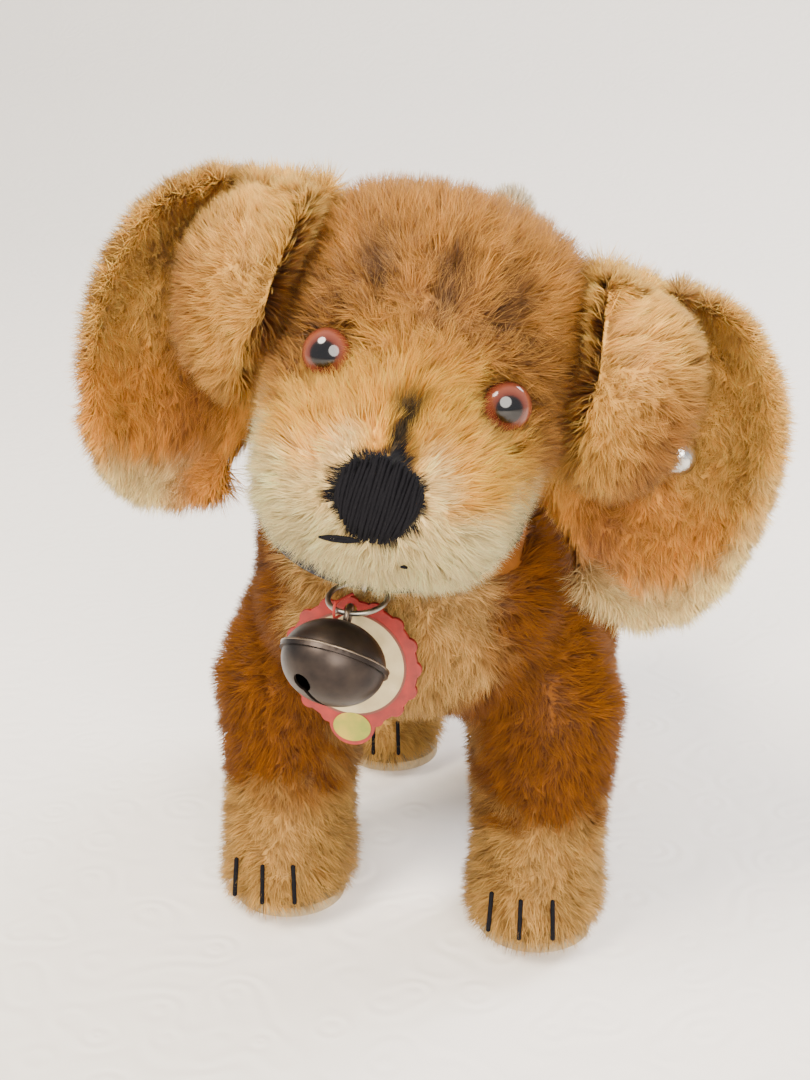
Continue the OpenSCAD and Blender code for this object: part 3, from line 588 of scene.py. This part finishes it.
headSkin = skin("headSkin", ["head_side_left", "head_side_right", "head_gusset", "head_stuffing"], 1.1, headInset, 5,
                "head", "mohair_head", ["head_side_left", "head_side_right", "head_gusset"], headTint)
bodySkin = skin("bodySkin", ["body_side_left", "body_side_right", "belly_gusset", "body_stuffing"], 1.25, 3.4, 5,
                "torso", "mohair_body", ["body_side_left", "body_side_right", "belly_gusset"], bodyTint)
tailSkin = skin("tailSkin", ["tail_cover", "tail_stuffing"], 1.0, 3.0, 3,
                "torso", "mohair_body", ["tail_cover"], tailTint)
earSkins = {s: skin("ear" + s.title() + "Skin", [f"ear_front_{s}", f"ear_back_{s}"], 0.9, 1.7, 10,
                    "ear_" + s, "mohair_ear", [f"ear_front_{s}", f"ear_back_{s}"], earTint(s))
            for s in ("left", "right")}
for part, body in (("body_stuffing", "torso"), ("head_stuffing", "head"), ("tail_stuffing", "torso")):
    name = part.split("_")[0] + "WoodWool"
    polished(name, part, straw, body, "wood_wool", angle=60, grow=-1.0)

# Where the pile keeps clear

strap = vertsOf("collar_strap")
_, _, vt = np.linalg.svd((strap - strap.mean(0))[::7], full_matrices=False)
strapAxis = vt[2] if vt[2][2] > 0 else -vt[2]
strapMiddle = strap.mean(0)


# Height along the strap's axis and distance from it
def fromStrap(p):
    h = (p - strapMiddle) @ strapAxis
    return h, np.linalg.norm((p - strapMiddle) - h[:, None] * strapAxis, axis=1)


strapHigh, strapAway = fromStrap(strap)
strapHalf, strapInner, strapOuter = float(np.abs(strapHigh).max()), float(strapAway.min()), float(strapAway.max())


def bodyClear(p):
    h, r = fromStrap(p)
    return ~((np.abs(h) < strapHalf + 0.3) & (r < strapInner + 4)) & (p[:, 2] > 1.0)


eyeAxis = {s: unit(middleOf("eye_glass_" + s) - eyePlace[s]) for s in ("left", "right")}
eyeR = float(np.linalg.norm(vertsOf("eye_backing_left") - eyePlace["left"], axis=1).max())


def headClear(p):
    ok = np.ones(len(p), bool)
    for s in ("left", "right"):
        rel = p - eyePlace[s]
        h = rel @ eyeAxis[s]
        r = np.linalg.norm(rel - h[:, None] * eyeAxis[s], axis=1)
        ok &= ~((r < eyeR * 0.68) & (h > -6))
    return ok


buttonAt = middleOf("ear_button")
buttonRoom = 4.2


def buttonClear(p):
    return np.linalg.norm(p - buttonAt, axis=1) > buttonRoom


# How the pile lies

def headShape(p, nrm):
    q = toHead(p).astype(np.float32)
    d = np.linalg.norm(q - noseAt, axis=1)
    away = unit(p - fromHead(noseAt))
    length = 3.0 + 2.6 * steps(d, 6, 19) - 0.8 * steps(1.1 - onNose(q), 0, 0.2)
    lean = 1.05 - 0.7 * steps(d, 6, 26)
    comb = away.astype(np.float32)
    flank = steps(np.abs(q[:, 0]), 17, 22) * steps(q[:, 2], -14, -8)
    outward = np.sign(q[:, :1]) * headSide.astype(np.float32) - headBack.astype(np.float32) * 0.8
    comb = comb + outward * flank[:, None] * 1.5
    length = length + 1.6 * flank
    lean = lean + 0.35 * flank
    for s in ("left", "right"):
        rel = p - eyePlace[s]
        r = np.linalg.norm(rel, axis=1)
        near = np.exp(-((r - eyeR) / 2.2) ** 2).astype(np.float32)
        comb = comb - unit(rel) * near[:, None] * 0.5
        length = length * (1 - 0.08 * near)
    return length.astype(np.float32), comb.astype(np.float32), lean.astype(np.float32)


def bodyShape(p, nrm):
    x = p[:, 0] - bodyMiddleX
    leg = steps(-p[:, 2], -46, -40)
    comb = np.stack([0 * x, 0.9 - 0.9 * leg, -0.55 - 0.6 * leg], 1)
    paw = steps(-p[:, 2], -16, -8)
    length = 4.7 - 0.4 * leg + 0.7 * paw
    lean = 0.42 + 0.1 * leg
    foot = steps(-p[:, 2], -7, -3)
    comb[:, 2] -= foot * 1.5
    lean = lean + foot * 0.6
    h, r = fromStrap(p)
    near = np.exp(-((np.abs(h) - strapHalf) / 2.2) ** 2) * (r < strapInner + 5)
    near = near * steps(-x, -12, -3)
    comb = comb - (np.sign(h) * near * 1.6)[:, None] * strapAxis
    length = length * (1 + 0.35 * near)
    return length.astype(np.float32), comb.astype(np.float32), lean.astype(np.float32)


def tailShape(p, nrm):
    n = len(p)
    return np.full(n, 4.2, np.float32), np.tile(np.array([0, 0.2, 1], np.float32), (n, 1)), np.full(n, 0.75, np.float32)


def earShape(side):
    centre = earHinge[side] + np.array([0, 0, 4.0])

    def shape(p, nrm):
        q = toHead(p).astype(np.float32)
        away = q - centre.astype(np.float32)
        away[:, 1] *= 0.2
        away[:, 2] -= 3.0
        out = np.abs(q[:, 0] - earHinge[side][0])
        comb = unit(away) @ headAxes.T.astype(np.float32)
        edge = steps(earReach(out, q), 0.72, 0.95)
        seam = steps(-out, -6, 0)
        comb = comb - headBack.astype(np.float32) * seam[:, None] * 1.2
        length = 4.3 + 0.3 * edge + 0.9 * steps(-q[:, 2], 18, 28) + 2.0 * seam
        return length.astype(np.float32), comb.astype(np.float32), (0.6 + 1.5 * edge).astype(np.float32)

    return shape


headGusset = {"half": 9, "low": -8}
bodyGusset = {"half": 24, "top": 52}
foreEnd = 8
rimFrom = 17


def headPanels(p):
    q = toHead(p)
    group = np.where(q[:, 0] > 0, 0, 1)
    group[(np.abs(q[:, 0]) < headGusset["half"]) & (q[:, 2] > headGusset["low"])] = 2
    return group


def bodyPanels(p):
    x = p[:, 0] - bodyMiddleX
    group = np.where(x > 0, 0, 1)
    group[(np.abs(x) < bodyGusset["half"]) & (p[:, 2] < bodyGusset["top"])] = 2
    return group * 2 + (p[:, 1] > foreEnd)


def earDensity(side):
    def density(p):
        q = toHead(p)
        out = np.abs(q[:, 0] - earHinge[side][0])
        edge = steps(earReach(out, q), 0.72, 0.95)
        return thin * (12.5 + 16 * edge)
    return density


def earPanels(side):
    def panels(p):
        return (np.abs(toHead(p)[:, 0] - earHinge[side][0]) > rimFrom).astype(int)
    return panels


thin = 1.0
headDensity = lambda p: thin * (11 + 5 * steps(-toHead(p)[:, 1], -12, 0) + 14 * (onNose(toHead(p)) < 1.05))
bodyDensity = lambda p: thin * (7.0 + 3.5 * steps(-p[:, 1], -5, 15))
pileOn(headSkin, ["headPileLeft", "headPileRight", "headPileGusset"], 11,
       headDensity, headShape, headTint, "head", "mohair_head", headPanels,
       width=0.125, tuft=1.7, pull=0.4, clear=headClear)
pileOn(bodySkin, ["bodyPile" + panel + end for panel in ("Left", "Right", "Gusset") for end in ("Fore", "Hind")], 12,
       bodyDensity, bodyShape, bodyTint, "torso", "mohair_body", bodyPanels,
       width=0.15, tuft=1.8, pull=0.3, clear=bodyClear)
pileOn(tailSkin, ["tailPile"], 13, lambda p: thin * 8 + 0 * p[:, 0],
       tailShape, tailTint, "torso", "mohair_body", lambda p: np.zeros(len(p), int), width=0.15)
for s in ("left", "right"):
    pileOn(earSkins[s], ["ear" + s.title() + "PileRoot", "ear" + s.title() + "PileRim"], 14 if s == "left" else 15,
           earDensity(s), earShape(s), earTint(s), "ear_" + s, "mohair_ear", earPanels(s),
           width=0.125, tuft=1.9, pull=0.45, clear=buttonClear, edgeMore=2.6)

# Eyes

def eyeMaterial():
    mat, tree, shader = newMaterial("eyeGlass")
    irisAt = add(tree, "ShaderNodeAttribute", {"attribute_name": "iris"})
    ramp = add(tree, "ShaderNodeValToRGB", {}, {"Fac": irisAt.outputs["Fac"]})
    stops = ((0.0, "#040303"), (0.42, "#080404"), (0.48, "#1a0a06"), (0.56, "#4a2015"),
             (0.78, "#6b3626"), (0.92, "#5d2b1d"), (1.0, "#1b0b07"))
    ramp.color_ramp.elements[0].position, ramp.color_ramp.elements[0].color = 0.0, linear(stops[0][1])
    ramp.color_ramp.elements[1].position, ramp.color_ramp.elements[1].color = 1.0, linear(stops[-1][1])
    for at, colour in stops[1:-1]:
        ramp.color_ramp.elements.new(at).color = linear(colour)
    tree.links.new(ramp.outputs[0], shader.inputs["Base Color"])
    shader.inputs["Roughness"].default_value = 0.12
    shader.inputs["Specular IOR Level"].default_value = 0.2
    shader.inputs["Coat Weight"].default_value = 0.6
    shader.inputs["Coat Roughness"].default_value = 0.02
    return mat


eyeGlass = eyeMaterial()
for s in ("left", "right"):
    dome = vertsOf("eye_glass_" + s)
    axis = eyeAxis[s]
    back = float(((dome - eyePlace[s]) @ axis).min())
    tall = float(((dome - eyePlace[s]) @ axis).max()) - back
    radius = eyeR + 0.1
    turn = Vector(axis).to_track_quat("Z", "Y").to_matrix().to_4x4()
    bm = bmesh.new()
    bmesh.ops.create_uvsphere(bm, u_segments=48, v_segments=48, radius=1.0)
    bmesh.ops.delete(bm, geom=[v for v in bm.verts if v.co.z < -0.01], context="VERTS")
    bm.normal_update()
    rim = [e for e in bm.edges if e.is_boundary]
    bmesh.ops.contextual_create(bm, geom=rim)
    iris = bm.verts.layers.float.new("iris")
    for v in bm.verts:
        v[iris] = math.hypot(v.co.x, v.co.y)
        v.co = Vector((v.co.x * radius, v.co.y * radius, v.co.z * tall))
    bmesh.ops.recalc_face_normals(bm, faces=bm.faces)
    seat = Matrix.Translation(Vector(eyePlace[s] + axis * back) * mm) @ turn @ Matrix.Scale(mm, 4)
    bmesh.ops.transform(bm, matrix=seat, verts=bm.verts)
    mesh = smoothMesh(bm, "eyeGlass" + s.title())
    mesh.set_sharp_from_angle(angle=math.radians(60))
    place(newObject(mesh.name, mesh, [eyeGlass]), "head", "eye_glass", ["eye_glass_" + s])
    polished("eyeBacking" + s.title(), "eye_backing_" + s, darkBack, "head", "eye_back")
    polished("eyeShank" + s.title(), "eye_shank_" + s, steel, "head", "steel_wire")

# Stitched nose, mouth and claws

bm = copied(["head_side_left", "head_side_right", "head_gusset"])
headTree = BVHTree.FromBMesh(bm)
bm.free()


def onFace(x, z, lift):
    start = fromHead((x, -60, z))
    hit = headTree.ray_cast(Vector(start) * mm, Vector(headBack), 0.2)
    at = np.array(hit[0]) / mm if hit[0] else fromHead((x, noseAt[1], z))
    return at - headBack * lift


rng = np.random.default_rng(5)
paths = []
for layer in range(2):
    count = 21
    for k in range(count):
        u = 2 * (k + 0.5 * layer) / (count - 1) - 1
        if abs(u) > 1:
            continue
        half = 6.1 * math.sqrt(1 - 0.8 * abs(u) ** 2.4) * rng.uniform(0.92, 1.05)
        slant = rng.uniform(-0.35, 0.35)
        path = []
        for t in np.linspace(-1, 1, 7):
            x = noseAt[0] + u * 5.9 * (1 - 0.16 * (t < 0) * t * t) + slant * t
            z = noseAt[2] + half * t
            lift = 0.15 + 0.75 * (1 - t * t) * (1 - 0.5 * u * u) + 0.25 * layer
            path.append(onFace(x, z, lift))
        paths.append(path)
tubes("noseStitching", paths, 0.36, blackThread, "head", "thread_black", ["nose_stitching"])
stitches = vertsOf("mouth_stitching")
q = toHead(stitches)
left = q[q[:, 0] < 3]
lineStart, lineEnd = left[left[:, 0].argmax()], left[left[:, 0].argmin()]
paths = []
for k in range(3):
    off = (k - 1) * 0.3
    paths.append([onFace(lineStart[0] * (1 - t) + lineEnd[0] * t,
                         lineStart[2] * (1 - t) + lineEnd[2] * t + off * math.sin(math.pi * t), 0.45)
                  for t in np.linspace(0, 1, 6)])
dot = q[q[:, 0] >= 3].mean(0)
paths.append([onFace(dot[0] - 0.5, dot[2], 0.2), onFace(dot[0], dot[2], 0.5), onFace(dot[0] + 0.5, dot[2], 0.2)])
tubes("mouthStitching", paths, 0.3, blackThread, "head", "thread_black", ["mouth_stitching"])
for a in ("front", "rear"):
    for b in ("left", "right"):
        polished("claws" + a.title() + b.title(), f"claws_{a}_{b}", blackThread, "torso", "thread_black", angle=60)
        polished("sole" + a.title() + b.title(), f"sole_{a}_{b}", felt, "torso", "felt", bevel=0.35)

# Collar, bell, tag and button

polished("collarStrap", "collar_strap", leather, "torso", "collar_strap", bevel=0.3)
seen = unit(np.cross(strapAxis, np.array([1.0, 0, 0])))
across = np.cross(strapAxis, seen)
paths = []
stitchCount = 72
for side in (-1, 1):
    for k in range(stitchCount):
        pts = []
        for f in (0.12, 0.5, 0.88):
            a = 2 * math.pi * (k + f * 0.62) / stitchCount
            lift = 0.1 if f == 0.5 else -0.05
            pts.append(strapMiddle + (math.cos(a) * seen + math.sin(a) * across) * (strapOuter + lift)
                       + strapAxis * side * (strapHalf - 0.75))
        paths.append(pts)
tubes("collarStitches", paths, 0.13, plainMaterial("collarThread", "#4a474c", 0.7), "torso", "collar_strap", sides=5)
for piece in ("buckle", "staple", "ring"):
    polished("collar" + piece.title(), "collar_" + piece, steel, "torso", "steel_wire",
             bevel=0.12 if piece == "buckle" else 0)
polished("bellTop", "bell_top", bellMetal, "bell", "bell_metal", bevel=0.12)
polished("bellBottom", "bell_bottom", bellMetal, "bell", "bell_metal", bevel=0.1)
bellAxis = unit(np.array(joints["pellet_rattle"]["axis"], float))
lipVerts = vertsOf("bell_top")
lipVerts = lipVerts[((lipVerts - lipVerts.mean(0)) @ bellAxis).argsort()[:40]]
lipHeight = float((lipVerts @ bellAxis).mean())
rel = vertsOf("bell_top")
flat = rel - (rel @ bellAxis)[:, None] * bellAxis
hub = (flat.max(0) + flat.min(0)) / 2
lipR = float(np.linalg.norm(flat - hub, axis=1).max())
u1 = unit(np.cross(bellAxis, np.array([0.3, 1.0, 0.1])))
u2 = np.cross(bellAxis, u1)
circle = [hub + bellAxis * (lipHeight + 0.85) + (u1 * math.cos(a) + u2 * math.sin(a)) * (lipR - 0.12)
          for a in np.linspace(0, 2 * math.pi, 97)]
tubes("bellSeam", [circle], 0.2, bellEdge, "bell", "bell_metal", sides=8)
polished("bellEye", "bell_eye", bellEdge, "bell", "bell_metal")
polished("bellPellet", "bell_pellet", steel, "pellet", "bell_metal")
polished("earButton", "ear_button", buttonMetal, "ear_left", "button", angle=25)
polished("tagThread", "tag_thread", redThread, "torso", "thread_red")
card = vertsOf("tag_card")
low, high = card.min(0), card.max(0)
tagR = (high[0] - low[0]) / 2
tagAt = np.array([(high[0] + low[0]) / 2, low[1], high[2] - tagR])
polished("tagCard", "tag_card", cardRed, "tag", "card", bevel=0.12)


discSides = 72


def disc(name, mat, r, inner, z, lift, wide=1.0):
    bm = bmesh.new()
    outerRing = bmesh.ops.create_circle(bm, cap_ends=False, segments=discSides, radius=r * mm)["verts"]
    if inner:
        innerRing = bmesh.ops.create_circle(bm, cap_ends=False, segments=discSides, radius=inner * mm)["verts"]
        for k in range(discSides):
            bm.faces.new((outerRing[k], outerRing[(k + 1) % discSides], innerRing[(k + 1) % discSides], innerRing[k]))
    else:
        bm.faces.new(outerRing)
    side = bmesh.ops.extrude_face_region(bm, geom=bm.faces[:])["geom"]
    bmesh.ops.translate(bm, vec=(0, 0, 0.08 * mm), verts=[g for g in side if isinstance(g, bmesh.types.BMVert)])
    bmesh.ops.recalc_face_normals(bm, faces=bm.faces)
    seat = Vector((tagAt[0], tagAt[1] + 0.02 - lift, tagAt[2] + z)) * mm
    turn = Matrix.Translation(seat) @ Matrix.Rotation(math.pi / 2, 4, "X")
    bmesh.ops.transform(bm, matrix=turn @ Matrix.Diagonal((1, wide, 1, 1)), verts=bm.verts)
    mesh = bpy.data.meshes.new(name)
    bm.to_mesh(mesh)
    bm.free()
    return place(newObject(name, mesh, [mat]), "tag", "card")


disc("tagCentre", cardCream, tagR * 0.76, 0, 0, 0.0)
disc("tagLine", cardDark, tagR * 0.79, tagR * 0.755, 0, 0.02)
disc("tagTab", cardGold, 3.3, 0, 1 - tagR - 0.6, 0.05, 0.8)

# Stage, light and camera

def stageMaterial():
    mat, tree, shader = newMaterial("laceCloth")
    shader.inputs["Base Color"].default_value = linear("#efe8de")
    shader.inputs["Roughness"].default_value = 0.85
    where = add(tree, "ShaderNodeTexCoord")
    lace = add(tree, "ShaderNodeTexVoronoi", {"feature": "SMOOTH_F1", "Scale": 95.0}, {"Vector": where.outputs["Object"]})
    rings = add(tree, "ShaderNodeMath", {"operation": "SINE"})
    grown = add(tree, "ShaderNodeMath", {"operation": "MULTIPLY", 1: 26.0}, {0: lace.outputs["Distance"]})
    tree.links.new(grown.outputs[0], rings.inputs[0])
    cloth = add(tree, "ShaderNodeTexNoise", {"Scale": 28.0, "Detail": 4.0}, {"Vector": where.outputs["Object"]})
    both = add(tree, "ShaderNodeMath", {"operation": "MULTIPLY_ADD", 1: 0.35},
               {0: rings.outputs[0], 2: cloth.outputs["Fac"]})
    bumped(tree, shader, both.outputs[0], 0.2, 0.0009)
    return mat


bm = bmesh.new()
profile = [(-1.2, 0.0), (-0.2, 0.0), (0.3, 0.0), (0.55, 0.02),
           (0.75, 0.09), (0.9, 0.22), (0.98, 0.42), (1.0, 0.8), (1.0, 1.6)]
rows = [[bm.verts.new((x, y, z)) for x in (-2.2, 0.0, 2.2)] for y, z in profile]
for a, b in zip(rows, rows[1:]):
    for k in range(2):
        bm.faces.new((a[k], a[k + 1], b[k + 1], b[k]))
floor = newObject("floor", smoothMesh(bm, "floor"), [stageMaterial()])

world = bpy.data.worlds.new("soft")
bpy.context.scene.world = world
world.use_nodes = True
world.node_tree.nodes["Background"].inputs[0].default_value = linear("#e4e9ef")
world.node_tree.nodes["Background"].inputs[1].default_value = 1.2


def lamp(name, at, size, power, colour):
    data = bpy.data.lights.new(name, "AREA")
    data.shape, data.size, data.energy, data.color = "DISK", size, power, linear(colour)[:3]
    obj = bpy.data.objects.new(name, data)
    bpy.context.scene.collection.objects.link(obj)
    obj.location = at
    obj.rotation_euler = (Vector((0, 0, 0.08)) - Vector(at)).to_track_quat("-Z", "Y").to_euler()


lamp("key", (-0.35, -0.45, 0.75), 0.35, 16.0, "#fff4e4")
lamp("rim", (0.45, 0.45, 0.6), 0.4, 11.0, "#f6f6ff")
lamp("fill", (0.28, -0.75, 0.42), 0.55, 14.0, "#fff6ea")

lens = bpy.data.cameras.new("camera")
lens.sensor_width = 36
lens.lens = 54.066666
camera = bpy.data.objects.new("camera", lens)
bpy.context.scene.collection.objects.link(camera)
turn, pitch = math.radians(14), math.radians(20)
# the lens stands in front of the dog's middle, a little to its left, 172 mm up
aside, away, high = -6.4, 290, 172.0
cameraAt = np.array([math.cos(turn) * aside + math.sin(turn) * away,
                     math.sin(turn) * aside - math.cos(turn) * away, high])
cameraAt[0] += bodyMiddleX
cameraAt[1] += float(middleOf("sole_front_left")[1]) + 22.0
camera.location = Vector(cameraAt) * mm
camera.rotation_euler = (math.pi / 2 - pitch, 0, turn)
bpy.context.scene.camera = camera
